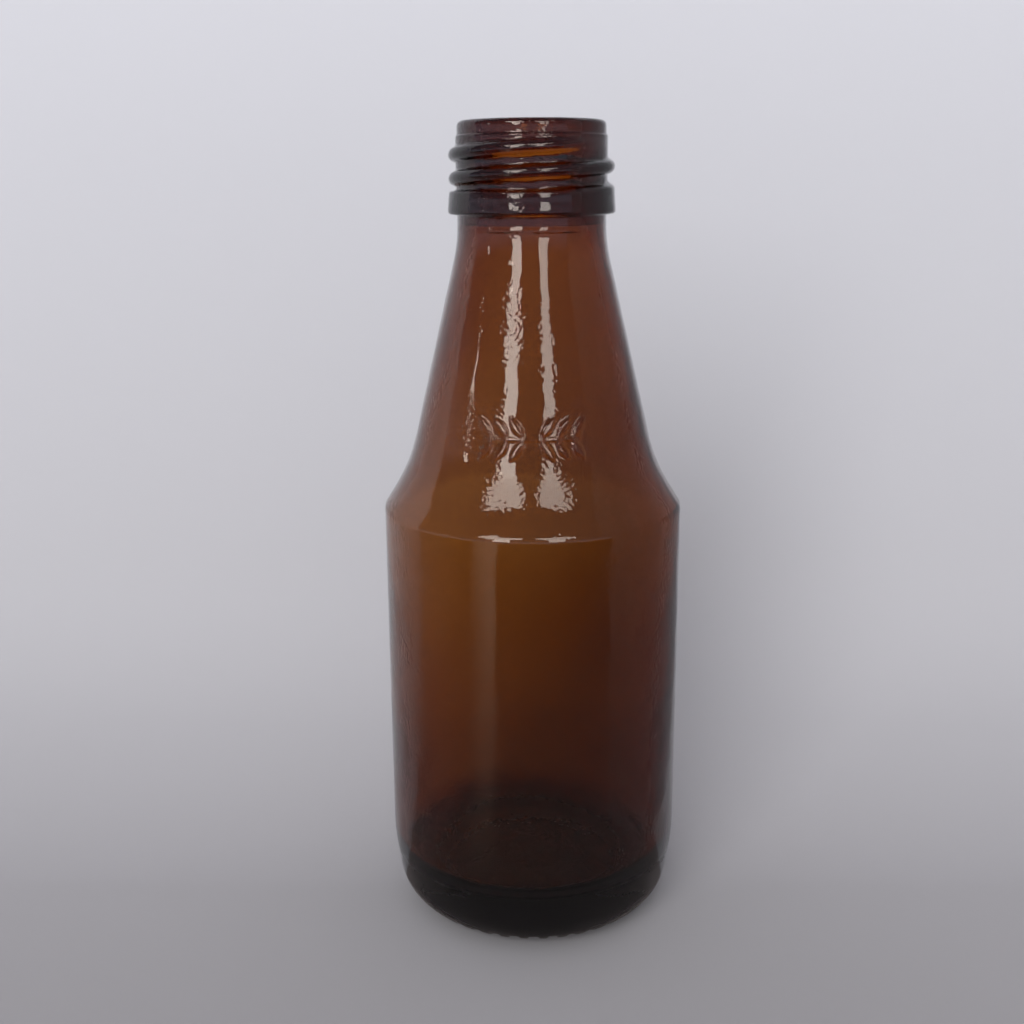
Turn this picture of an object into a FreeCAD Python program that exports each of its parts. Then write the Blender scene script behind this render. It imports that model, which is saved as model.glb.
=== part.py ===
import FreeCAD, Part
import Sketcher
import math
import os

# Amber glass soda bottle, moulded in one piece.
# Millimetres and degrees. The bottle stands on z = 0, its axis is Z, and the side the
# photograph shows faces -Y.

doc = FreeCAD.newDocument("soda_bottle")

SIZES = [
    # outside of the body
    ("overall_height", 138.5),
    ("body_diameter", 51.8),
    ("heel_height", 12.9),           # where the tapered heel would meet the straight body
    ("heel_corner_diameter", 47.6),  # where it would meet the bearing plane
    ("heel_round", 8.2),
    ("heel_blend", 36),
    ("shoulder_height", 74.3),
    ("shoulder_round", 2),
    ("flare_height", 7.4),           # rise of the steep part of the shoulder
    ("flare_diameter", 42.3),        # its upper end, where the neck cone would begin
    ("flare_blend", 30),
    ("neck_diameter", 24.6),
    ("neck_drop", 19.4),             # rim down to the meeting of cone and straight neck
    ("neck_blend", 26),
    # underside
    ("bearing_inner_diameter", 29),
    ("bearing_inner_round", 2),
    ("dish_diameter", 15),
    ("dish_round", 16),
    ("push_up", 2.8),
    # threaded finish, measured down from the rim
    ("lip_diameter", 24.5),
    ("lip_drop", 2.2),
    ("lip_slope", 0.3),
    ("lip_outer_round", 0.9),
    ("lip_inner_round", 1),
    ("thread_root_diameter", 25),
    ("thread_crest_diameter", 27.4),
    ("thread_pitch", 3.8),
    ("thread_turns", 2.1),           # the lower end runs out inside the bead
    ("thread_fade_turns", 0.2),
    ("thread_fade_depth", 0.1),      # how far the faded crest ends below the root
    ("thread_start_drop", 4.45),
    ("thread_round", 1.2),           # radius of the half-round thread section
    ("bead_drop", 11.2),
    ("bead_height", 3.7),
    ("bead_upper_diameter", 27.3),
    ("bead_lower_diameter", 27.9),
    ("bead_slope", 0.3),
    ("bead_round", 0.5),
    # inside
    ("bore_diameter", 16.6),
    ("bore_length", 15.9),
    ("bore_blend", 12),
    ("inner_neck_diameter", 20.6),   # where the widening below the bore meets the neck cone
    ("inner_neck_drop", 21),
    ("inner_neck_blend", 20),
    ("body_wall", 2.2),
    ("base_thickness", 8),
    ("floor_fall", 1.4),             # crown of the inner floor down to its edge
    ("floor_edge_diameter", 24),
    ("floor_round", 20),
    ("inner_heel_round", 7.5),
    ("inner_shoulder_drop", 0.7),
    ("inner_shoulder_round", 1.3),
    ("inner_flare_height", 7),
    ("inner_flare_diameter", 38),
    ("inner_flare_blend", 31),
    ("mouth_overcut", 2),
    # knurled ring round the heel
    ("knurl_count", 40),
    ("knurl_width", 1.7),
    ("knurl_inner_diameter", 36.4),
    ("knurl_slope", 27),
    ("knurl_reach", 6),
]

sheet = doc.addObject("Spreadsheet::Sheet", "sizes")
for row, (name, size) in enumerate(SIZES, start=1):
    sheet.set("A%d" % row, name)
    sheet.set("B%d" % row, str(size))
    sheet.setAlias("B%d" % row, name)
doc.recompute()

body = doc.addObject("PartDesign::Body", "bottle_glass")
body.Label = "bottle_glass"


def origin_plane(role):
    for feature in body.Origin.OriginFeatures:
        if feature.Role == role:
            return feature


def new_sketch(name, role):
    sketch = body.newObject("Sketcher::SketchObject", name)
    sketch.AttachmentSupport = [(origin_plane(role), "")]
    sketch.MapMode = "FlatFace"
    return sketch


def round_corner(before, corner, after, radius):
    """Where a tangent arc of this radius leaves the two runs that meet at a corner."""
    back = (before - corner).normalize()
    ahead = (after - corner).normalize()
    half = back.getAngle(ahead) / 2
    entry = corner + back * (radius / math.tan(half))
    leave = corner + ahead * (radius / math.tan(half))
    centre = corner + (back + ahead).normalize() * (radius / math.sin(half))
    return entry, leave, centre


def draw_outline(sketch, corners):
    """Closed outline of straight runs whose corners may be rounded by tangent arcs.

    A corner is (name, across, up, radius). The last three are formulas on the size sheet;
    radius is None at a sharp corner.
    """
    points = []
    for name, across, up, radius in corners:
        x = float(sketch.evalExpression(across))
        y = float(sketch.evalExpression(up))
        points.append(FreeCAD.Vector(x, y, 0))
    count = len(corners)
    arcs = {}
    for i, (name, across, up, radius) in enumerate(corners):
        if radius is not None:
            size = float(sketch.evalExpression(radius))
            arcs[i] = round_corner(points[i - 1], points[i], points[(i + 1) % count], size)

    lines = []
    for i in range(count):
        j = (i + 1) % count
        start = arcs[i][1] if i in arcs else points[i]
        end = arcs[j][0] if j in arcs else points[j]
        lines.append(sketch.addGeometry(Part.LineSegment(start, end), False))

    for i, (name, across, up, radius) in enumerate(corners):
        if i in arcs:
            entry, leave, centre = arcs[i]
            turn = (points[i] - points[i - 1]).cross(points[(i + 1) % count] - points[i]).z
            first, last = (entry, leave) if turn > 0 else (leave, entry)
            circle = Part.Circle(centre, FreeCAD.Vector(0, 0, 1), (entry - centre).Length)
            begin = math.atan2(first.y - centre.y, first.x - centre.x)
            finish = math.atan2(last.y - centre.y, last.x - centre.x)
            arc = sketch.addGeometry(Part.ArcOfCircle(circle, begin, finish), False)
            mark = sketch.addGeometry(Part.Point(points[i]), True)
            ends = (1, 2) if turn > 0 else (2, 1)
            sketch.addConstraint(Sketcher.Constraint("Tangent", lines[i - 1], 2, arc, ends[0]))
            sketch.addConstraint(Sketcher.Constraint("Tangent", arc, ends[1], lines[i], 1))
            sketch.addConstraint(Sketcher.Constraint("PointOnObject", mark, 1, lines[i - 1]))
            sketch.addConstraint(Sketcher.Constraint("PointOnObject", mark, 1, lines[i]))
            size = (entry - centre).Length
            index = sketch.addConstraint(Sketcher.Constraint("Radius", arc, size))
            sketch.renameConstraint(index, name + "_round")
            sketch.setExpression("Constraints." + name + "_round", radius)
            where = mark
        else:
            sketch.addConstraint(Sketcher.Constraint("Coincident", lines[i - 1], 2, lines[i], 1))
            where = lines[i]
        if across == "0":
            sketch.addConstraint(Sketcher.Constraint("PointOnObject", where, 1, -2))
        else:
            rule = Sketcher.Constraint("DistanceX", -1, 1, where, 1, points[i].x)
            index = sketch.addConstraint(rule)
            sketch.renameConstraint(index, name + "_across")
            sketch.setExpression("Constraints." + name + "_across", across)
        if up == "0":
            sketch.addConstraint(Sketcher.Constraint("PointOnObject", where, 1, -1))
        else:
            rule = Sketcher.Constraint("DistanceY", -1, 1, where, 1, points[i].y)
            index = sketch.addConstraint(rule)
            sketch.renameConstraint(index, name + "_up")
            sketch.setExpression("Constraints." + name + "_up", up)
    doc.recompute()


# Outside, as the blow mould and the neck ring shape it: a solid of revolution.
outside = new_sketch("outside_outline", "XZ_Plane")
draw_outline(outside, [
    ("dish_centre", "0", "sizes.push_up", None),
    ("dish_edge", "sizes.dish_diameter / 2", "sizes.push_up", "sizes.dish_round"),
    ("bearing_inner", "sizes.bearing_inner_diameter / 2", "0", "sizes.bearing_inner_round"),
    ("heel_low", "sizes.heel_corner_diameter / 2", "0", "sizes.heel_round"),
    ("heel_high", "sizes.body_diameter / 2", "sizes.heel_height", "sizes.heel_blend"),
    ("shoulder", "sizes.body_diameter / 2", "sizes.shoulder_height", "sizes.shoulder_round"),
    ("flare", "sizes.flare_diameter / 2", "sizes.shoulder_height + sizes.flare_height",
     "sizes.flare_blend"),
    ("neck", "sizes.neck_diameter / 2", "sizes.overall_height - sizes.neck_drop",
     "sizes.neck_blend"),
    ("neck_top", "sizes.neck_diameter / 2",
     "sizes.overall_height - sizes.bead_drop - sizes.bead_height", None),
    ("bead_low", "sizes.bead_lower_diameter / 2",
     "sizes.overall_height - sizes.bead_drop - sizes.bead_height", "sizes.bead_round"),
    ("bead_high", "sizes.bead_upper_diameter / 2", "sizes.overall_height - sizes.bead_drop",
     "sizes.bead_round"),
    ("thread_root", "sizes.thread_root_diameter / 2",
     "sizes.overall_height - sizes.bead_drop + sizes.bead_slope", None),
    ("lip_step", "sizes.thread_root_diameter / 2",
     "sizes.overall_height - sizes.lip_drop - sizes.lip_slope", None),
    ("lip_low", "sizes.lip_diameter / 2", "sizes.overall_height - sizes.lip_drop", None),
    ("lip_high", "sizes.lip_diameter / 2", "sizes.overall_height", "sizes.lip_outer_round"),
    ("rim_centre", "0", "sizes.overall_height", None),
])
mould_form = body.newObject("PartDesign::Revolution", "mould_form")
mould_form.Profile = outside
mould_form.ReferenceAxis = (outside, ["V_Axis"])
mould_form.Angle = 360
outside.Visibility = False
doc.recompute()

# Round thread section, drawn at the front of the neck where the crest first reaches full
# height. Its inner half lies in the wall, so a half-round ridge stands out of the neck.
section = new_sketch("thread_section", "YZ_Plane")
THREAD_CENTRE = "sizes.thread_crest_diameter / 2 - sizes.thread_round"
THREAD_HEIGHT = "sizes.overall_height - sizes.thread_start_drop"
centre = FreeCAD.Vector(-float(section.evalExpression(THREAD_CENTRE)),
                        float(section.evalExpression(THREAD_HEIGHT)), 0)
ridge = Part.Circle(centre, FreeCAD.Vector(0, 0, 1), float(sheet.get("thread_round")))
section.addGeometry(ridge, False)
section.addConstraint(Sketcher.Constraint("Radius", 0, ridge.Radius))
section.addConstraint(Sketcher.Constraint("DistanceX", 0, 3, -1, 1, -centre.x))
section.addConstraint(Sketcher.Constraint("DistanceY", -1, 1, 0, 3, centre.y))
for index, formula in enumerate(["sizes.thread_round", THREAD_CENTRE, THREAD_HEIGHT]):
    section.setExpression("Constraints[%d]" % index, formula)
doc.recompute()

thread = body.newObject("PartDesign::AdditiveHelix", "thread")
thread.Profile = section
thread.ReferenceAxis = (section, ["V_Axis"])
thread.Mode = 1
thread.setExpression("Pitch", "sizes.thread_pitch")
thread.setExpression("Turns", "sizes.thread_turns")
thread.Angle = 0
thread.LeftHanded = False
thread.Reversed = True
doc.recompute()

# Above the section the thread sinks into the wall and fades out.
fade = body.newObject("PartDesign::AdditiveHelix", "thread_fade")
fade.Profile = section
fade.ReferenceAxis = (section, ["V_Axis"])
fade.Mode = 3
fade.setExpression("Height", "sizes.thread_pitch * sizes.thread_fade_turns")
fade.setExpression("Turns", "sizes.thread_fade_turns")
fade.setExpression("Growth", "-((sizes.thread_crest_diameter - sizes.thread_root_diameter) / 2"
                   " + sizes.thread_fade_depth) / sizes.thread_fade_turns")
fade.LeftHanded = False
fade.Reversed = False
section.Visibility = False
doc.recompute()

# Inside, as the blown bubble leaves it: bore, shoulder, body and rounded floor.
inside = new_sketch("inside_outline", "XZ_Plane")
INNER = "sizes.body_diameter / 2 - sizes.body_wall"
CROWN = "sizes.push_up + sizes.base_thickness"
SHOULDER = "sizes.shoulder_height - sizes.inner_shoulder_drop"
draw_outline(inside, [
    ("floor_centre", "0", CROWN, None),
    ("floor_edge", "sizes.floor_edge_diameter / 2", CROWN, "sizes.floor_round"),
    ("inner_heel", INNER, CROWN + " - sizes.floor_fall", "sizes.inner_heel_round"),
    ("inner_shoulder", INNER, SHOULDER, "sizes.inner_shoulder_round"),
    ("inner_flare", "sizes.inner_flare_diameter / 2", SHOULDER + " + sizes.inner_flare_height",
     "sizes.inner_flare_blend"),
    ("inner_neck", "sizes.inner_neck_diameter / 2", "sizes.overall_height - sizes.inner_neck_drop",
     "sizes.inner_neck_blend"),
    ("bore_low", "sizes.bore_diameter / 2", "sizes.overall_height - sizes.bore_length",
     "sizes.bore_blend"),
    ("bore_high", "sizes.bore_diameter / 2", "sizes.overall_height", "sizes.lip_inner_round"),
    ("mouth_edge", "sizes.bore_diameter / 2 + sizes.mouth_overcut", "sizes.overall_height", None),
    ("mouth_outer", "sizes.bore_diameter / 2 + sizes.mouth_overcut",
     "sizes.overall_height + sizes.mouth_overcut", None),
    ("mouth_centre", "0", "sizes.overall_height + sizes.mouth_overcut", None),
])
cavity = body.newObject("PartDesign::Groove", "cavity")
cavity.Profile = inside
cavity.ReferenceAxis = (inside, ["V_Axis"])
cavity.Angle = 360
inside.Visibility = False
doc.recompute()

# Knurled ring: short flats across the heel round, all the way about the axis.
flat = new_sketch("knurl_section", "XZ_Plane")
KNURL_END = "sizes.knurl_inner_diameter / 2 + sizes.knurl_reach"
draw_outline(flat, [
    ("knurl_start", "sizes.knurl_inner_diameter / 2", "0", None),
    ("knurl_foot", KNURL_END, "0", None),
    ("knurl_end", KNURL_END, "sizes.knurl_reach * tan(sizes.knurl_slope * 1 deg)", None),
])
knurl = body.newObject("PartDesign::Pocket", "knurl")
knurl.Profile = flat
knurl.setExpression("Length", "sizes.knurl_width")
knurl.SideType = "Symmetric"
flat.Visibility = False
doc.recompute()
ring = body.newObject("PartDesign::PolarPattern", "knurl_ring")
ring.Originals = [knurl]
ring.Axis = (flat, ["V_Axis"])
ring.Angle = 360
ring.setExpression("Occurrences", "sizes.knurl_count")
body.Tip = ring
doc.recompute()

body.Placement = FreeCAD.Placement(FreeCAD.Vector(0, 0, 0), FreeCAD.Rotation())
doc.recompute()

for item in doc.Objects:
    for flag in ("Invalid", "Error"):
        if flag in item.State:
            raise RuntimeError("%s is marked %s" % (item.Name, flag))
shape = body.Shape
if shape.isNull() or not shape.isValid() or len(shape.Solids) != 1:
    raise RuntimeError("the bottle is not one valid solid")

box = shape.optimalBoundingBox(True, False)
print("bottle_glass: %.2f x %.2f x %.2f mm" % (box.XLength, box.YLength, box.ZLength))
print("glass %.1f ml, faces %d" % (shape.Volume / 1000, len(shape.Faces)))

os.makedirs("parts", exist_ok=True)
shape.exportStep("parts/bottle_glass.step")
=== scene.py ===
# %% [markdown]
# # An amber glass soda bottle
#
# A small screw-top drink bottle, blown in one piece from brown container glass. The packed
# solid is the frame: it fixes the place and the size. Light goes through both sides of the wall,
# so the bottle is rebuilt here as one closed, finely divided skin, outside and inside, with the
# thread, the knurled heel and the mould seams in the mesh itself. Sizes are in millimetres, and
# MM turns them into Blender's metres.

# %% Load the frame
import math

import bmesh
import bpy
from mathutils import Matrix, Vector, noise


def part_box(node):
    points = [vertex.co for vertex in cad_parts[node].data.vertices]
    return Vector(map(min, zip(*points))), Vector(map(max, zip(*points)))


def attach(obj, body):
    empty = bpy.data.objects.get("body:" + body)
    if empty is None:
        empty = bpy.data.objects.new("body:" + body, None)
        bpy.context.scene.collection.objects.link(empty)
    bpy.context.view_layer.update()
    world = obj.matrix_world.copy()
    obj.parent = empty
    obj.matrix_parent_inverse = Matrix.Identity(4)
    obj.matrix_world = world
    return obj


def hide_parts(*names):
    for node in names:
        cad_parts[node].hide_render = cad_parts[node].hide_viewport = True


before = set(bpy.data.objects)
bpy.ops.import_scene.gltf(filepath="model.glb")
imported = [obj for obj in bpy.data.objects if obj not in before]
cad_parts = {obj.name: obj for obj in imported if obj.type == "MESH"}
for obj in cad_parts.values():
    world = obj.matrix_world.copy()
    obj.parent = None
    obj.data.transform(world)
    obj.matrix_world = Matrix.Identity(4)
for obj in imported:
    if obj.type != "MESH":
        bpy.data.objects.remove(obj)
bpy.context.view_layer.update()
MM = 0.001
foot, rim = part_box("bottle_glass")
HEIGHT = (rim[2] - foot[2]) / MM
BODY_R = (rim[0] - foot[0]) / 2 / MM
print("bottle: %.1f mm tall, %.1f mm across" % (HEIGHT, 2 * BODY_R))

# %% [markdown]
# ## Drawing a half-section
#
# A bottle is a turned form, so a maker draws half of its section. Here a pen does it: a vertex
# is extruded along each straight run, and spun about the centre of each rounded corner, which
# gives true tangent arcs. Each corner names its radius and how far apart the rows of the mesh
# are on the way to it, so that rows are close only where there is detail to carry.

# %% The pen
ARC_STEPS = 5


def only_verts(items):
    """The vertices among the results of a bmesh operator."""
    return [item for item in items if isinstance(item, bmesh.types.BMVert)]


def corner_arc(before, corner, after, radius):
    """Start, centre and signed turn of the tangent arc that rounds a corner."""
    back = (before - corner).normalized()
    ahead = (after - corner).normalized()
    half = back.angle(ahead) / 2
    start = corner + back * (radius / math.tan(half))
    centre = corner + (back + ahead).normalized() * (radius / math.sin(half))
    turn = math.copysign(math.pi - 2 * half, ahead.cross(back).y)
    return start, centre, turn


def draw_run(bm, tip, end, row):
    """Extrude the tip vertex along a straight run, in even rows."""
    start = tip.co.copy()
    rows = max(round((end - start).length / MM / row), 1)
    for i in range(rows):
        tip = bmesh.ops.extrude_vert_indiv(bm, verts=[tip])["verts"][0]
        tip.co = start.lerp(end, (i + 1) / rows)
    return tip


def draw_section(corners):
    """Half-section of corners (radius from the axis, height, rounding, row), all in mm."""
    points = [Vector((r, 0, z)) * MM for r, z, rounding, row in corners]
    bm = bmesh.new()
    tip = bm.verts.new(points[0])
    for i in range(1, len(corners)):
        rounding, row = corners[i][2:]
        if not rounding:
            tip = draw_run(bm, tip, points[i], row)
            continue
        start, centre, turn = corner_arc(points[i - 1], points[i], points[i + 1], rounding * MM)
        tip = draw_run(bm, tip, start, row)
        steps = max(round(abs(turn) * rounding / row), ARC_STEPS)
        arc = bmesh.ops.spin(bm, geom=[tip], cent=centre, axis=(0, 1, 0), angle=turn, steps=steps)
        tip = only_verts(arc["geom_last"])[0]
    return bm


print("pen: at least %d steps to a rounded corner" % ARC_STEPS)

# %% [markdown]
# ## Turning the section
#
# A full spin about the bottle's axis makes a skin of a section, with the last column merged into
# the first, and the vertices that fall together on the axis merged into one pole. Everything that
# isn't round is made afterwards, by moving vertices of the turned skin in or out, so the skin
# stays in one piece and nothing has to be cut.

# %% The lathe
COLUMNS = 240
MERGE = 0.001


def turn_section(bm):
    """Spin a half-section about the bottle's axis and close its pole."""
    bmesh.ops.spin(bm, geom=bm.verts[:] + bm.edges[:], cent=(0, 0, 0), axis=(0, 0, 1),
                   angle=math.tau, steps=COLUMNS, use_merge=True)
    bmesh.ops.remove_doubles(bm, verts=bm.verts[:], dist=MERGE * MM)


def polar(vert):
    """Radius and height in mm, and the angle about the axis."""
    return math.hypot(vert.co.x, vert.co.y) / MM, vert.co.z / MM, math.atan2(vert.co.y, vert.co.x)


def set_radius(vert, radius, angle):
    """Move a vertex to a radius in mm, at an angle about the axis."""
    vert.co.x = radius * MM * math.cos(angle)
    vert.co.y = radius * MM * math.sin(angle)


print("lathe: %d columns round the axis" % COLUMNS)

# %% [markdown]
# ## The outside
#
# The blow mould shapes the body, shoulder and neck; the neck ring shapes the bead, the thread
# and the lip. The base is pushed up in the middle, so that the bottle stands on a ring. A lathe
# of one half-section gives all of it at once. The wall stays a tenth of a millimetre inside the
# frame, which leaves room for the mould seams.

# %% Outside section
SEAM_HEIGHT = 0.1
WALL_R = BODY_R - SEAM_HEIGHT
PUSH_UP, DISH_R, DISH_ROUND = 2.8, 7.5, 16
BEARING_R, BEARING_ROUND = 14.5, 2
HEEL_CORNER_R, HEEL_ROUND = 23.7, 8.2
WALL_LOW_Z, WALL_LOW_ROUND = 12.9, 36
SHOULDER_Z, SHOULDER_ROUND = 74.3, 2
FLARE_R, FLARE_Z, FLARE_ROUND = 21.15, 81.7, 30
NECK_R, NECK_Z, NECK_ROUND = 12.3, HEIGHT - 19.4, 26
FINE_Z = NECK_Z - 5
FINE_R = NECK_R + (NECK_Z - FINE_Z) * (FLARE_R - NECK_R) / (NECK_Z - FLARE_Z)
BEAD_LOW_R, BEAD_LOW_Z = 13.95, HEIGHT - 14.9
BEAD_HIGH_R, BEAD_HIGH_Z = 13.65, HEIGHT - 11.2
BEAD_ROUND, BEAD_FOOT_ROUND = 0.5, 0.4
ROOT_R, ROOT_STEP, ROOT_ROUND = 12.5, 0.3, 0.3
LIP_R, LIP_STEP_Z, LIP_ROUND = 12.25, HEIGHT - 2.2, 0.9
CROWN_R = 10.8

outside = draw_section([
    (0, PUSH_UP, 0, 1),
    (DISH_R, PUSH_UP, DISH_ROUND, 1.5),
    (BEARING_R, 0, BEARING_ROUND, 1.5),
    (HEEL_CORNER_R, 0, HEEL_ROUND, 0.6),
    (WALL_R, WALL_LOW_Z, WALL_LOW_ROUND, 1.2),
    (WALL_R, SHOULDER_Z, SHOULDER_ROUND, 1.4),
    (FLARE_R, FLARE_Z, FLARE_ROUND, 0.6),
    (FINE_R, FINE_Z, 0, 1),
    (NECK_R, NECK_Z, NECK_ROUND, 0.3),
    (NECK_R, BEAD_LOW_Z, BEAD_FOOT_ROUND, 0.3),
    (BEAD_LOW_R, BEAD_LOW_Z, BEAD_ROUND, 0.3),
    (BEAD_HIGH_R, BEAD_HIGH_Z, BEAD_ROUND, 0.25),
    (ROOT_R, BEAD_HIGH_Z + ROOT_STEP, ROOT_ROUND, 0.25),
    (ROOT_R, LIP_STEP_Z - ROOT_STEP, ROOT_ROUND, 0.25),
    (LIP_R, LIP_STEP_Z, ROOT_ROUND, 0.2),
    (LIP_R, HEIGHT, LIP_ROUND, 0.3),
    (CROWN_R, HEIGHT, 0, 0.5),
])
rows = len(outside.verts)
turn_section(outside)
print("outside: %d rows, %d faces" % (rows, len(outside.faces)))

# %% [markdown]
# ## The screw thread
#
# A right-handed ridge of half-round section climbs about two turns round the finish. On the real
# bottle it is pressed in the neck ring with soft roots, it sinks back into the wall at its upper
# end and dies in the top of the bead at its lower end. A swept ridge would cut through the wall
# skin, so the rows of the wall are pushed out to the ridge instead, with a smooth blend.

# %% Thread
PITCH = 3.8
CREST_R, RIDGE_ROUND = 13.7, 1.2
THREAD_START_Z = HEIGHT - 4.45
TURNS_BELOW, TURNS_FADE = 2.1, 0.2
FADE_PAST_ROOT = 0.1
FADE_DEPTH = CREST_R - ROOT_R + FADE_PAST_ROOT
ROOT_BLEND = 0.3
THREAD_LOW_Z = BEAD_LOW_Z + 1
FRONT = -math.pi / 2


def soft_max(a, b, blend):
    """The larger of two radii, with a fillet where they are close."""
    near = max(blend - abs(a - b), 0) / blend
    return max(a, b) + near * near * blend / 4


def ridge_radius(angle, z):
    """Radius of the thread ridge at an angle and height, or 0 where there is none."""
    radius = 0
    first = (angle - FRONT) / math.tau
    for lap in range(-3, 2):
        turns = first + lap
        rise = z - THREAD_START_Z - PITCH * turns
        if -TURNS_BELOW <= turns <= TURNS_FADE and abs(rise) < RIDGE_ROUND:
            sunk = FADE_DEPTH * max(turns, 0) / TURNS_FADE
            reach = math.sqrt(RIDGE_ROUND ** 2 - rise ** 2)
            radius = max(radius, CREST_R - RIDGE_ROUND - sunk + reach)
    return radius


pushed = 0
for vert in outside.verts:
    r, z, angle = polar(vert)
    if THREAD_LOW_Z < z < LIP_STEP_Z and r > CROWN_R:
        ridge = ridge_radius(angle, z)
        if ridge > r - ROOT_BLEND:
            set_radius(vert, soft_max(r, ridge, ROOT_BLEND), angle)
            pushed += 1
print("thread: %d vertices pushed out" % pushed)

# %% [markdown]
# ## The knurled heel
#
# Short flats are cut across the heel round all the way about the base. They keep the hot glass
# off the conveyor, and light catches them as a row of small scallops under the front edge. Forty
# cuts would leave slivers in so fine a mesh, so the ring of the heel is divided once more and its
# vertices are drawn in to the flats.

# %% Knurl
KNURLS = 40
KNURL_WIDTH, KNURL_EDGE = 1.7, 0.4
KNURL_MIDDLE, KNURL_HALF = math.radians(-63), math.radians(20)
LEVEL = 0.01

heel_corners = (Vector((BEARING_R, 0, 0)), Vector((HEEL_CORNER_R, 0, 0)),
                Vector((WALL_R, 0, WALL_LOW_Z)))
heel_centre = corner_arc(*heel_corners, HEEL_ROUND)[1]


def clamp(value):
    """The value, kept between 0 and 1."""
    return min(max(value, 0), 1)


def heel_place(vert):
    """Distances from the centre of the heel round, and the angle past the middle of the knurl."""
    r, z, angle = polar(vert)
    across, up = r - heel_centre.x, z - heel_centre.z
    return across, up, math.atan2(up, across) - KNURL_MIDDLE


def on_knurl(vert):
    """Whether a vertex lies in the ring of the heel that the knurl takes up."""
    across, up, lean = heel_place(vert)
    return up < 0 < across and abs(lean) < KNURL_HALF


rings = [edge for edge in outside.edges if all(on_knurl(vert) for vert in edge.verts)
         and abs(edge.verts[0].co.z - edge.verts[1].co.z) < LEVEL * MM]
bmesh.ops.subdivide_edges(outside, edges=rings, cuts=2)
knurled = 0
for vert in outside.verts:
    if on_knurl(vert):
        r, z, angle = polar(vert)
        across, up, lean = heel_place(vert)
        step = math.tau / KNURLS
        off = abs((angle + step / 2) % step - step / 2) * r
        share = clamp((KNURL_WIDTH / 2 - off) / KNURL_EDGE + 0.5)
        flat = HEEL_ROUND * math.cos(KNURL_HALF) / math.cos(lean)
        keep = 1 + share * (flat / math.hypot(across, up) - 1)
        set_radius(vert, heel_centre.x + across * keep, angle)
        vert.co.z = (heel_centre.z + up * keep) * MM
        knurled += share > 0
print("knurl: %d vertices moved in" % knurled)

# %% [markdown]
# ## Mould seams
#
# The mould opens in two halves, and leaves a fine ridge of glass up each side, from the heel to
# the bead. So small a ridge needs no geometry of its own: one column of vertices on each side is
# raised by a tenth of a millimetre. The neck ring leaves a fine line all round below the bead and
# a row of tiny points round the bead itself, and they are raised in the same way.

# %% Seams
SEAM_LOW_Z, SEAM_HIGH_Z = 3, HEIGHT - 1
SEAM_NEAR = 0.02
RING_LINE_Z, RING_LINE_WIDTH = HEIGHT - 17.2, 0.25
DOTS_Z = HEIGHT - 12.4
DOTS_ROUND = COLUMNS // 2

seamed = 0
for vert in outside.verts:
    r, z, angle = polar(vert)
    raise_by = 0
    if abs(math.sin(angle)) * r < SEAM_NEAR and SEAM_LOW_Z < z < SEAM_HIGH_Z:
        raise_by = SEAM_HEIGHT if z < BEAD_LOW_Z else SEAM_HEIGHT / 2
    elif abs(z - RING_LINE_Z) < 2 * RING_LINE_WIDTH:
        raise_by = SEAM_HEIGHT * math.exp(-((z - RING_LINE_Z) / RING_LINE_WIDTH) ** 2)
    elif abs(z - DOTS_Z) < RING_LINE_WIDTH / 2 and math.cos(angle * DOTS_ROUND) > 0:
        raise_by = SEAM_HEIGHT / 2
    if raise_by:
        set_radius(vert, r + raise_by, angle)
        seamed += 1
print("seams: %d vertices raised" % seamed)

# %% [markdown]
# ## A raised device on the neck
#
# Bottles of this kind carry a device in low relief on the lower neck. This one is a plain sprig:
# a straight stem with pointed leaves in pairs. It is drawn as a height over the unrolled neck,
# full inside the edge of a leaf and sloping off at it, so it follows the curve by itself.

# %% Sprig
DEVICE_Z = 89.2
RELIEF, RELIEF_EDGE = 0.35, 0.25
LEAF_LENGTH, LEAF_HALF_WIDTH = 4.3, 0.8
LEAF_SLANT = math.radians(55)
LEAF_PLACES = (1.2, 3.8, 6.4)
STEM_HALF_LENGTH, STEM_HALF_WIDTH = 8, 0.3
PATCH_HALF_WIDTH, PATCH_HALF_HEIGHT = 10.6, 5.8


def leaf_depth(across, up, slant):
    """How far a place lies inside the edge of a pointed leaf that starts at the origin."""
    along = across * math.cos(slant) + up * math.sin(slant)
    aside = abs(up * math.cos(slant) - across * math.sin(slant))
    if not 0 < along < LEAF_LENGTH:
        return -1
    return LEAF_HALF_WIDTH * math.sin(math.pi * along / LEAF_LENGTH) - aside


def device_height(across, up):
    """Relief in mm at a place on the unrolled neck, measured from the device's centre."""
    across, up = abs(across), abs(up)
    deepest = min(STEM_HALF_WIDTH - up, STEM_HALF_LENGTH - across)
    for place in LEAF_PLACES:
        deepest = max(deepest, leaf_depth(across - place, up, LEAF_SLANT))
    return RELIEF * clamp(deepest / RELIEF_EDGE)


print("sprig: %d leaves, %.0f mm long" % (4 * len(LEAF_PLACES), 2 * STEM_HALF_LENGTH))

# %% [markdown]
# ## Raising the sprig
#
# A bump in the material would do for the light, but not for the mesh itself, so the relief is
# real. The patch of wall under it is divided more finely. New vertices lie on the flat faces
# between the old ones, so they are first laid back on the true curve of the neck, a cone with a
# concave flare at its foot, and then raised by a third of a millimetre.

# %% Relief
flare_corners = (Vector((WALL_R, 0, SHOULDER_Z)), Vector((FLARE_R, 0, FLARE_Z)),
                 Vector((NECK_R, 0, NECK_Z)))
flare_start, flare_centre = corner_arc(*flare_corners, FLARE_ROUND)[:2]
flare_run = (flare_corners[1] - flare_start).length
up_the_neck = (flare_corners[2] - flare_corners[1]).normalized()
FLARE_TOP_Z = FLARE_Z + (up_the_neck * flare_run).z


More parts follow.
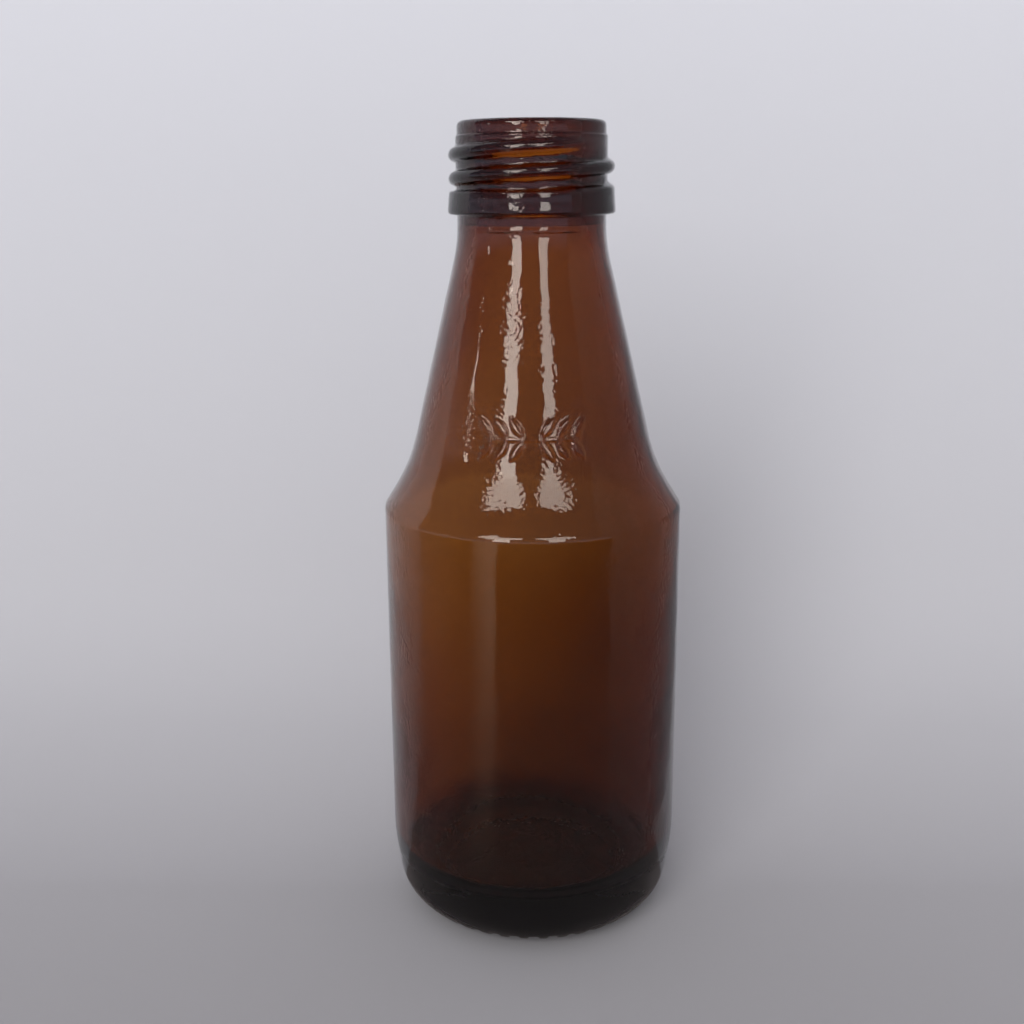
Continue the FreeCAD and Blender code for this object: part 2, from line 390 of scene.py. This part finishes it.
def neck_radius(z):
    """Radius of the neck cone and of the concave flare at its foot."""
    if z > FLARE_TOP_Z:
        return FLARE_R + (z - FLARE_Z) * (NECK_R - FLARE_R) / (NECK_Z - FLARE_Z)
    return flare_centre.x - math.sqrt(FLARE_ROUND ** 2 - (z - flare_centre.z) ** 2)


def unrolled(vert):
    """Place on the unrolled neck, measured from the device's centre."""
    r, z, angle = polar(vert)
    return (angle - FRONT) * r, z - DEVICE_Z


def in_patch(vert):
    """Whether a vertex lies in the patch of wall round the device."""
    across, up = unrolled(vert)
    return abs(across) < PATCH_HALF_WIDTH and abs(up) < PATCH_HALF_HEIGHT


patch = [face for face in outside.faces if all(in_patch(vert) for vert in face.verts)]
patch_edges = list(dict.fromkeys(edge for face in patch for edge in face.edges))
bmesh.ops.subdivide_edges(outside, edges=patch_edges, cuts=2, use_grid_fill=True)
raised = 0
for vert in outside.verts:
    if in_patch(vert):
        r, z, angle = polar(vert)
        set_radius(vert, neck_radius(z) + device_height(*unrolled(vert)), angle)
        raised += 1
print("relief: %d vertices in its patch" % raised)

# %% [markdown]
# ## Ripples of the mould skin
#
# The iron mould is swabbed with oil and is never quite smooth, and the glass chills against it in
# small waves. They are a few hundredths of a millimetre deep, too little to see in the outline,
# but enough to fray the edge of every reflection. Each vertex of the outside also keeps how far
# the mould has marked it, from 0 under the heel to 1, so that the material can put its finest
# waves on the outside alone.

# %% Ripples
RIPPLE_HEIGHT, RIPPLE_LENGTH = 0.08, 3
SKIN_FADE = 6


def wander(vert, length):
    """Smooth noise, about -1 to 1, that changes over this length in mm."""
    return noise.noise(vert.co / (length * MM))


mould_skin = outside.verts.layers.float.new("mould_skin")
for vert in outside.verts:
    r, z, angle = polar(vert)
    vert[mould_skin] = clamp((z - SEAM_LOW_Z) / SKIN_FADE)
    if SEAM_LOW_Z < z < BEAD_LOW_Z:
        ripple = RIPPLE_HEIGHT * (0.5 + 0.5 * wander(vert, RIPPLE_LENGTH))
        set_radius(vert, r - ripple * vert[mould_skin], angle)
print("ripples: %.2f mm deep, %.0f mm apart" % (RIPPLE_HEIGHT, RIPPLE_LENGTH))

# %% [markdown]
# ## The inside
#
# Nothing touches the inside of a blown bottle but air, so its wall is smooth but never quite
# even: it thickens downwards, it drifts by some tenths of a millimetre, and the bubble lies a
# little to one side, which makes the other side darker. The bore widens behind the bead, and the
# thick floor is domed over the push-up. The inside is a second half-section, turned like the
# first and then moved by smooth noise, which makes the view through it swim as in real glass.

# %% Inside section
BORE_R, MOUTH_ROUND = 8.3, 1
BORE_LOW_Z, BORE_BLEND = HEIGHT - 13.2, 6
COLLAR_R, COLLAR_Z, COLLAR_BLEND = 9.25, HEIGHT - 16.4, 6
INNER_NECK_R, INNER_NECK_Z, INNER_NECK_BLEND = 9.7, HEIGHT - 19.2, 14
INNER_FLARE_R, INNER_FLARE_Z, INNER_FLARE_ROUND = 19, 80.6, 31
INNER_R = WALL_R - 1.9
INNER_SHOULDER_Z, INNER_SHOULDER_ROUND = SHOULDER_Z - 0.7, 1.3
INNER_LOW_R, INNER_LOW_Z = WALL_R - 3, 24
FLOOR_Z = PUSH_UP + 8
FLOOR_EDGE_Z, FLOOR_EDGE_ROUND = FLOOR_Z - 3.6, 5.5
FLOOR_CROWN_R, FLOOR_CROWN_ROUND = 9, 20
DRIFT, DRIFT_LENGTH = 0.25, 16
EVEN_Z, DRIFT_FADE = HEIGHT - 16, 20
OFF_CENTRE, CENTRED_Z = 0.4, 112
POLE_R = 1

inside = draw_section([
    (CROWN_R, HEIGHT, 0, 1),
    (BORE_R, HEIGHT, MOUTH_ROUND, 0.3),
    (BORE_R, BORE_LOW_Z, BORE_BLEND, 1),
    (COLLAR_R, COLLAR_Z, COLLAR_BLEND, 0.6),
    (INNER_NECK_R, INNER_NECK_Z, INNER_NECK_BLEND, 1),
    (INNER_FLARE_R, INNER_FLARE_Z, INNER_FLARE_ROUND, 2.4),
    (INNER_R, INNER_SHOULDER_Z, INNER_SHOULDER_ROUND, 1.2),
    (INNER_LOW_R, INNER_LOW_Z, 0, 3.6),
    (INNER_LOW_R, FLOOR_EDGE_Z, FLOOR_EDGE_ROUND, 1),
    (FLOOR_CROWN_R, FLOOR_Z, FLOOR_CROWN_ROUND, 1.5),
    (0, FLOOR_Z, 0, 1.5),
])
rows = len(inside.verts)
turn_section(inside)
for vert in inside.verts:
    r, z, angle = polar(vert)
    if r > POLE_R:
        drift = DRIFT * clamp((EVEN_Z - z) / DRIFT_FADE) * wander(vert, DRIFT_LENGTH)
        set_radius(vert, r + drift, angle)
        vert.co.x -= OFF_CENTRE * MM * clamp((CENTRED_Z - z) / (CENTRED_Z - SHOULDER_Z))
print("inside: %d rows, %d faces" % (rows, len(inside.faces)))

# %% [markdown]
# ## One closed skin
#
# Glass has to be a closed volume, or its colour has no depth to work in. The two skins share the
# ring of vertices on top of the lip, so merging doubles there closes them, and the normals are
# then recalculated: outwards on the outside, into the cavity on the inside.

# %% Join the two skins at the lip
skin = bpy.data.meshes.new("bottle_skin")
outside.to_mesh(skin)
inside.from_mesh(skin)
bmesh.ops.remove_doubles(inside, verts=inside.verts[:], dist=MERGE * MM)
bmesh.ops.recalc_face_normals(inside, faces=inside.faces[:])
for face in inside.faces:
    face.smooth = True
inside.to_mesh(skin)
open_edges = sum(not edge.is_manifold for edge in inside.edges)
glass_ml = inside.calc_volume() * 1e6
outside.free()
inside.free()
bottle = bpy.data.objects.new("glass_bottle", skin)
bpy.context.scene.collection.objects.link(bottle)
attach(bottle, "root")
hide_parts("bottle_glass")
triangles = sum(len(face.vertices) - 2 for face in skin.polygons)
print("bottle: %d triangles, %d open edges, %.1f ml of glass" % (triangles, open_edges, glass_ml))

# %% [markdown]
# ## Materials as nodes
#
# A shader works with linear light, while colours are easiest to give as the sRGB codes that a
# screen shows, so one function turns codes into linear colours. A second function adds a node
# with its values and its wires in one call, which keeps each material readable from top to bottom.

# %% Node helpers


def linear(code):
    """Linear colour of an sRGB hex code."""
    values = [int(code[i:i + 2], 16) / 255 for i in (0, 2, 4)]
    values = [v / 12.92 if v <= 0.04045 else ((v + 0.055) / 1.055) ** 2.4 for v in values]
    return (*values, 1)


def add_node(tree, kind, settings=None, links=None):
    """One node with its properties or input values, and its inputs' sources, by name or number."""
    node = tree.nodes.new(kind)
    for key, value in (settings or {}).items():
        if isinstance(key, int) or key in node.inputs:
            node.inputs[key].default_value = value
        else:
            setattr(node, key, value)
    for key, source in (links or {}).items():
        tree.links.new(source, node.inputs[key])
    return node


def new_material(name):
    """An empty material and its node tree."""
    material = bpy.data.materials.new(name)
    material.use_nodes = True
    material.node_tree.nodes.clear()
    return material, material.node_tree


print("colours: the middle grey of a screen is %.2f in linear light" % linear("808080")[0])

# %% [markdown]
# ## Amber container glass
#
# Soda-lime glass coloured with iron, sulphur and carbon, which swallows blue first, then green.
# The colour is in the depth of the glass and not on its skin, so it comes from absorption, and
# the thick base and thread go nearly black by themselves. The surface is fire-polished. Waves of
# half a millimetre from the mould tear the edges of the reflections where a larger noise lets
# them, and a faint haze dulls the same patches.

# %% Amber glass
GLASS_IOR = 1.52
AMBER, AMBER_DENSITY = "E0BD43", 1200
SKIN_WAVE, SKIN_DEPTH = 0.6, 0.055
HAZE_SIZE = 7
PATCH_FROM, PATCH_TO, PATCH_LEAST = 0.42, 0.62, 0.1
HAZE_FROM, HAZE_TO = 0.5, 0.75
POLISHED, HAZY = 0.01, 0.06

amber, tree = new_material("amber_container_glass")
place = add_node(tree, "ShaderNodeTexCoord")
grain = add_node(tree, "ShaderNodeTexNoise", {"Scale": 1 / (SKIN_WAVE * MM), "Detail": 0},
                 {"Vector": place.outputs["Object"]})
haze = add_node(tree, "ShaderNodeTexNoise", {"Scale": 1 / (HAZE_SIZE * MM), "Detail": 6},
                {"Vector": place.outputs["Object"]})
patches = add_node(tree, "ShaderNodeMapRange",
                   {"From Min": PATCH_FROM, "From Max": PATCH_TO, "To Min": PATCH_LEAST},
                   {"Value": haze.outputs["Fac"]})
touched = add_node(tree, "ShaderNodeAttribute", {"attribute_name": "mould_skin"})
waves = add_node(tree, "ShaderNodeMath", {"operation": "MULTIPLY"},
                 {0: patches.outputs["Result"], 1: touched.outputs["Fac"]})
bump = add_node(tree, "ShaderNodeBump", {"Distance": SKIN_DEPTH * MM},
                {"Height": grain.outputs["Fac"], "Strength": waves.outputs["Value"]})
dull = add_node(tree, "ShaderNodeMapRange",
                {"From Min": HAZE_FROM, "From Max": HAZE_TO, "To Min": POLISHED, "To Max": HAZY},
                {"Value": haze.outputs["Fac"]})
glass = add_node(tree, "ShaderNodeBsdfPrincipled",
                 {"Base Color": linear("FFFFFF"), "IOR": GLASS_IOR, "Transmission Weight": 1.0},
                 {"Normal": bump.outputs["Normal"], "Roughness": dull.outputs["Result"]})
depth = add_node(tree, "ShaderNodeVolumeAbsorption",
                 {"Color": linear(AMBER), "Density": AMBER_DENSITY})
add_node(tree, "ShaderNodeOutputMaterial", None,
         {"Surface": glass.outputs["BSDF"], "Volume": depth.outputs["Volume"]})
skin.materials.append(amber)
print("material:", amber.name)

# %% [markdown]
# ## Paper sweep
#
# The bottle stands on a sheet of pale paper that bends up close behind it, so no horizon shows
# and the bottle's shadow falls on it. The pen draws the sheet's section, a straight floor and
# three bends that run into a steep wall, and one extrusion draws it out sideways. The floor also
# goes on flat behind the wall, for views from the back.

# %% Sheet
FLOOR_FRONT, FLOOR_BACK, FLOOR_FAR = -600, 0, 1500
BENDS = [(120, 25), (60, 40), (400, 14)]
BEND_STEPS = 24
WALL_LENGTH = 800
SHEET_HALF_WIDTH = 1500
SHEET_ROW, FAR_ROW = 100, 500

sheet = bmesh.new()
front_tip = sheet.verts.new(Vector((-SHEET_HALF_WIDTH, FLOOR_FRONT, 0)) * MM)
floor_end = Vector((-SHEET_HALF_WIDTH, FLOOR_BACK, 0)) * MM
tip = draw_run(sheet, front_tip, floor_end, SHEET_ROW)
tilt = 0
for radius, turn in BENDS:
    up = Vector((0, -math.sin(tilt), math.cos(tilt)))
    bend = bmesh.ops.spin(sheet, geom=[tip], cent=tip.co + up * radius * MM, axis=(1, 0, 0),
                          angle=math.radians(turn), steps=BEND_STEPS)
    tip = only_verts(bend["geom_last"])[0]
    tilt += math.radians(turn)
upwards = Vector((0, math.cos(tilt), math.sin(tilt)))
draw_run(sheet, tip, tip.co + upwards * WALL_LENGTH * MM, SHEET_ROW)
far_tip = sheet.verts.new(floor_end)
draw_run(sheet, far_tip, Vector((-SHEET_HALF_WIDTH, FLOOR_FAR, 0)) * MM, FAR_ROW)
pulled = bmesh.ops.extrude_edge_only(sheet, edges=sheet.edges[:])
bmesh.ops.translate(sheet, verts=only_verts(pulled["geom"]), vec=(2 * SHEET_HALF_WIDTH * MM, 0, 0))
sheet.normal_update()
bmesh.ops.reverse_faces(sheet, faces=[face for face in sheet.faces if face.normal.z < 0])
for face in sheet.faces:
    face.smooth = True
paper_mesh = bpy.data.meshes.new("paper")
sheet.to_mesh(paper_mesh)
sheet.free()
paper = bpy.data.objects.new("paper", paper_mesh)
bpy.context.scene.collection.objects.link(paper)
print("paper: %d faces" % len(paper_mesh.polygons))

# %% [markdown]
# ## Paper with painted shade
#
# Matte uncoated paper, with painted shade in its colour: greyer under the bottle and paler up the
# wall and behind, in place of the falling off of soft light. It shows only its front: from behind
# it is clear, so that it hides nothing in views from the back.

# %% Paper with painted shade
# Painted shade: the paper's colour runs from grey in front and under the bottle to pale up the wall
# and behind, in place of soft light falling off.
GRADED_FROM, GRADED_TO = -50, 330
PAPER_IN_PAINTED_SHADE, PAPER_PAINTED_LIT = "A8A5A7", "DFDFE4"

paper_shade_material, tree = new_material("paper_painted_shade")
place = add_node(tree, "ShaderNodeTexCoord")
axes = add_node(tree, "ShaderNodeSeparateXYZ", None, {"Vector": place.outputs["Object"]})
sweep = add_node(tree, "ShaderNodeMath", {"operation": "ADD"},
                 {0: axes.outputs["Y"], 1: axes.outputs["Z"]})
past_front = add_node(tree, "ShaderNodeMath", {"operation": "SUBTRACT", 1: GRADED_FROM * MM},
                      {0: sweep.outputs["Value"]})
distance = add_node(tree, "ShaderNodeMath", {"operation": "ABSOLUTE"},
                    {0: past_front.outputs["Value"]})
grade = add_node(tree, "ShaderNodeMapRange", {"From Max": (GRADED_TO - GRADED_FROM) * MM},
                 {"Value": distance.outputs["Value"]})
# painted shade: grey near the front, pale up the wall
shade = add_node(tree, "ShaderNodeMix",
                 {"data_type": "RGBA", "A": linear(PAPER_IN_PAINTED_SHADE), "B": linear(PAPER_PAINTED_LIT)},
                 {"Factor": grade.outputs["Result"]})
front = add_node(tree, "ShaderNodeBsdfPrincipled", {"Roughness": 0.8},
                 {"Base Color": shade.outputs["Result"]})
clear = add_node(tree, "ShaderNodeBsdfTransparent")
side = add_node(tree, "ShaderNodeNewGeometry")
one_sided = add_node(tree, "ShaderNodeMixShader", None,
                     {"Fac": side.outputs["Backfacing"], 1: front.outputs["BSDF"],
                      2: clear.outputs["BSDF"]})
add_node(tree, "ShaderNodeOutputMaterial", None, {"Surface": one_sided.outputs["Shader"]})
paper_mesh.materials.append(paper_shade_material)
print("material:", paper_shade_material.name)

# %% [markdown]
# ## Light
#
# One broad soft key in front lights the paper and throws the bottle's soft shadow back and a
# little to the right. Glass shows mirror images of what stands round it, so the windows are there
# only to be mirrored: two tall ones, wider towards the top, run down the neck as bright streaks
# that spread at its foot, and narrow ones add the thin streaks beside them. All of them stand four
# metres away, so that they look the same from every part of the bottle.

# %% Key and windows
LIGHT_DISTANCE = 4.0
AIM_SHARE = 0.6
DAYLIGHT = "FFF8EE"


def area_light(name, bearing, spread, low, high, strength):
    """Upright rectangle of light seen from the bottle between these angles, in degrees."""
    bottom = LIGHT_DISTANCE * math.tan(math.radians(low))
    top = LIGHT_DISTANCE * math.tan(math.radians(high))
    lamp = bpy.data.lights.new(name, "AREA")
    lamp.shape = "RECTANGLE"
    lamp.size = 2 * LIGHT_DISTANCE * math.tan(math.radians(spread / 2))
    lamp.size_y = top - bottom
    lamp.energy = strength * math.pi * lamp.size * lamp.size_y
    holder = bpy.data.objects.new(name, lamp)
    height = AIM_SHARE * HEIGHT * MM + (bottom + top) / 2
    holder.matrix_world = (Matrix.Rotation(math.radians(bearing), 4, "Z")
                           @ Matrix.Translation((0, -LIGHT_DISTANCE, height))
                           @ Matrix.Rotation(math.radians(90), 4, "X"))
    bpy.context.scene.collection.objects.link(holder)
    return holder


key = area_light("soft_key", -18, 40, 10, 46, 4.5)
key.visible_glossy = False
key.visible_transmission = False
for name, bearing, spread, low, high, strength in (
        ("window_left", -23, 14, 6, 26, 7.5),
        ("window_left_edge", -31.5, 5, 18.5, 22.5, 6),
        ("window_left_waist", -25, 23, 26, 31, 6),
        ("window_left_head", -27, 36, 31, 43, 5.5),
        ("window_right", 18, 12, 6, 26, 5.5),
        ("window_right_waist", 19, 20, 26, 31, 4.8),
        ("window_right_head", 21, 32, 31, 43, 4.4),
        ("window_side", -68, 2.5, 9, 15, 7)):
    window = area_light(name, bearing, spread, low, high, strength)
    window.data.color = linear(DAYLIGHT)[:3]
    window.visible_diffuse = False
    window.visible_transmission = False

# %% [markdown]
# ## Cards for the glass to mirror
#
# A photographer puts cards round glass, out of the picture, to say what its sides show. A dark
# one on the floor in front is painted shade: it stands in for the shaded floor there and keeps the
# front of the body deep. A pale one at the right, wearing the paper with its painted shade, gives
# the neck its soft edge. Only mirror reflections see them, so they neither light the paper nor
# throw a shadow.

# %% Cards
FLOOR_CARD_WIDTH, FLOOR_CARD_LENGTH, FLOOR_CARD_LIFT = 1200, 590, 0.5
SIDE_CARD_HEIGHT, SIDE_CARD_LENGTH = 190, 115
SIDE_CARD_PLACE = Vector((55, 12, 95))


def add_card(name, width, length, place):
    """Card that only mirror reflections see, moved to its place."""
    bm = bmesh.new()
    bmesh.ops.create_grid(bm, x_segments=1, y_segments=1, size=0.5 * MM)
    bmesh.ops.scale(bm, vec=(width, length, 1), verts=bm.verts[:])
    bmesh.ops.transform(bm, matrix=place, verts=bm.verts[:])
    mesh = bpy.data.meshes.new(name)
    bm.to_mesh(mesh)
    bm.free()
    holder = bpy.data.objects.new(name, mesh)
    bpy.context.scene.collection.objects.link(holder)
    holder.visible_camera = False
    holder.visible_diffuse = False
    holder.visible_transmission = False
    holder.visible_shadow = False
    return mesh


# painted shade: a dark card that only reflections see stands in for the shaded floor in front
floor_card_place = Vector((0, -FLOOR_CARD_LENGTH / 2, FLOOR_CARD_LIFT))
floor_card = add_card("floor_card", FLOOR_CARD_WIDTH, FLOOR_CARD_LENGTH,
                      Matrix.Translation(floor_card_place * MM))
side_card = add_card("side_card", SIDE_CARD_HEIGHT, SIDE_CARD_LENGTH,
                     Matrix.Translation(SIDE_CARD_PLACE * MM)
                     @ Matrix.Rotation(math.radians(-90), 4, "Y"))
# the side card wears the paper with its painted shade
side_card.materials.append(paper_shade_material)
print("cards:", floor_card.name, side_card.name)

# %% [markdown]
# ## Painted light and shade on the floor card
#
# Matte card, dark as painted shade of the floor in front, and paler close to the bottle as painted
# light on the floor at its foot, which the heel mirrors. A pale wedge runs away to the front left,
# a painted reflection of a window on the floor, and the body mirrors it as one soft upright streak.

# %% Floor card with painted light and shade
# Painted light and shade: pale near the bottle for the lit floor at its foot, dark further out for
# the shaded floor in front, and a pale wedge for a window's painted reflection on the floor.
WEDGE_RIGHT, WEDGE_LEFT = math.tan(math.radians(25)), math.tan(math.radians(47))
WEDGE_EDGE, WEDGE_FADE = 0.05, 0.4
NEAR_END, FAR_START = -30, -200
FLOOR_PAINTED_LIT, FLOOR_PAINTED_SHADE, WINDOW_REFLECTION_PAINT = "8A8180", "2E2E33", "FFE9D0"

floor_card_paint, tree = new_material("floor_card_painted_light")
place = add_node(tree, "ShaderNodeTexCoord")
axes = add_node(tree, "ShaderNodeSeparateXYZ", None, {"Vector": place.outputs["Object"]})
slope = add_node(tree, "ShaderNodeMath", {"operation": "DIVIDE"},
                 {0: axes.outputs["X"], 1: axes.outputs["Y"]})
right_edge = add_node(tree, "ShaderNodeMapRange",
                      {"From Min": WEDGE_RIGHT, "From Max": WEDGE_RIGHT + WEDGE_EDGE},
                      {"Value": slope.outputs["Value"]})
left_edge = add_node(tree, "ShaderNodeMapRange",
                     {"From Min": WEDGE_LEFT, "From Max": WEDGE_LEFT - WEDGE_FADE},
                     {"Value": slope.outputs["Value"]})
away = add_node(tree, "ShaderNodeMapRange", {"From Min": NEAR_END * MM, "From Max": FAR_START * MM},
                {"Value": axes.outputs["Y"]})
band = add_node(tree, "ShaderNodeMath", {"operation": "MULTIPLY"},
                {0: right_edge.outputs["Result"], 1: left_edge.outputs["Result"]})
wedge = add_node(tree, "ShaderNodeMath", {"operation": "MULTIPLY"},
                 {0: band.outputs["Value"], 1: away.outputs["Result"]})
ground = add_node(tree, "ShaderNodeMix",
                  {"data_type": "RGBA", "A": linear(FLOOR_PAINTED_LIT), "B": linear(FLOOR_PAINTED_SHADE)},
                  {"Factor": away.outputs["Result"]})
# painted reflection: the pale wedge of a window mirrored on the floor
shade = add_node(tree, "ShaderNodeMix", {"data_type": "RGBA", "B": linear(WINDOW_REFLECTION_PAINT)},
                 {"Factor": wedge.outputs["Value"], "A": ground.outputs["Result"]})
matte = add_node(tree, "ShaderNodeBsdfPrincipled", {"Roughness": 0.9},
                 {"Base Color": shade.outputs["Result"]})
add_node(tree, "ShaderNodeOutputMaterial", None, {"Surface": matte.outputs["BSDF"]})
floor_card.materials.append(floor_card_paint)
print("material:", floor_card_paint.name)

# %% [markdown]
# ## The room
#
# The world is the plain pale room. Glass sees it paler near the horizon and dimmer above, paper
# takes an even fill from it, and the camera sees a pale wall wherever no paper stands. Light Path
# tells the three apart.

# %% Room
ROOM, FILL, WALL = "DFE5FC", "F2F3FA", "F2F2F6"
HORIZON_END, ABOVE_START = 0.03, 0.25
HORIZON_LIGHT, ABOVE_LIGHT = 0.75, 0.25
FILL_LIGHT, WALL_LIGHT = 0.58, 0.8

world = bpy.context.scene.world or bpy.data.worlds.new("studio")
bpy.context.scene.world = world
world.use_nodes = True
tree = world.node_tree
tree.nodes.clear()
bearing = add_node(tree, "ShaderNodeTexCoord")
axes = add_node(tree, "ShaderNodeSeparateXYZ", None, {"Vector": bearing.outputs["Generated"]})
level = add_node(tree, "ShaderNodeMapRange",
                 {"From Min": HORIZON_END, "From Max": ABOVE_START,
                  "To Min": HORIZON_LIGHT, "To Max": ABOVE_LIGHT},
                 {"Value": axes.outputs["Z"]})
room = add_node(tree, "ShaderNodeBackground", {"Color": linear(ROOM)},
                {"Strength": level.outputs["Result"]})
fill = add_node(tree, "ShaderNodeBackground", {"Color": linear(FILL), "Strength": FILL_LIGHT})
wall = add_node(tree, "ShaderNodeBackground", {"Color": linear(WALL), "Strength": WALL_LIGHT})
path = add_node(tree, "ShaderNodeLightPath")
not_lit = add_node(tree, "ShaderNodeMath", {"operation": "LESS_THAN", 1: 0.5},
                   {0: path.outputs["Diffuse Depth"]})
mirrored = add_node(tree, "ShaderNodeMixShader", None,
                    {"Fac": not_lit.outputs["Value"], 1: fill.outputs["Background"],
                     2: room.outputs["Background"]})
seen = add_node(tree, "ShaderNodeMixShader", None,
                {"Fac": path.outputs["Is Camera Ray"], 1: mirrored.outputs["Shader"],
                 2: wall.outputs["Background"]})
add_node(tree, "ShaderNodeOutputWorld", None, {"Surface": seen.outputs["Shader"]})
print("world:", world.name)

# %% [markdown]
# ## Camera
#
# The camera stands close in front at about the height of the rim and looks a little down, so the
# body narrows towards its foot and the rim is seen edge-on. Its focal length and place come from
# fitting the outline of the bottle, in pixels of a picture 1024 wide.

# %% Camera
CAMERA_AWAY = 221.5
CAMERA_UP = 129.5
LOOK_DOWN = 14.44
LOOK_LEFT = 0.93
LEAN = -0.38
FOCAL_PIXELS = 1300
PICTURE_WIDTH = 1024
SENSOR_WIDTH = 36
CLIP_START = 10

lens = bpy.data.cameras.new("camera")
lens.sensor_width = SENSOR_WIDTH
lens.lens = SENSOR_WIDTH * FOCAL_PIXELS / PICTURE_WIDTH
lens.clip_start = CLIP_START * MM
camera = bpy.data.objects.new("camera", lens)
camera.matrix_world = (Matrix.Translation(Vector((0, -CAMERA_AWAY, CAMERA_UP)) * MM)
                       @ Matrix.Rotation(math.radians(LOOK_LEFT), 4, "Z")
                       @ Matrix.Rotation(math.radians(90 - LOOK_DOWN), 4, "X")
                       @ Matrix.Rotation(math.radians(LEAN), 4, "Z"))
bpy.context.scene.collection.objects.link(camera)
bpy.context.scene.camera = camera
bpy.context.scene.view_settings.view_transform = "Standard"
print("camera: %.1f mm lens" % lens.lens)
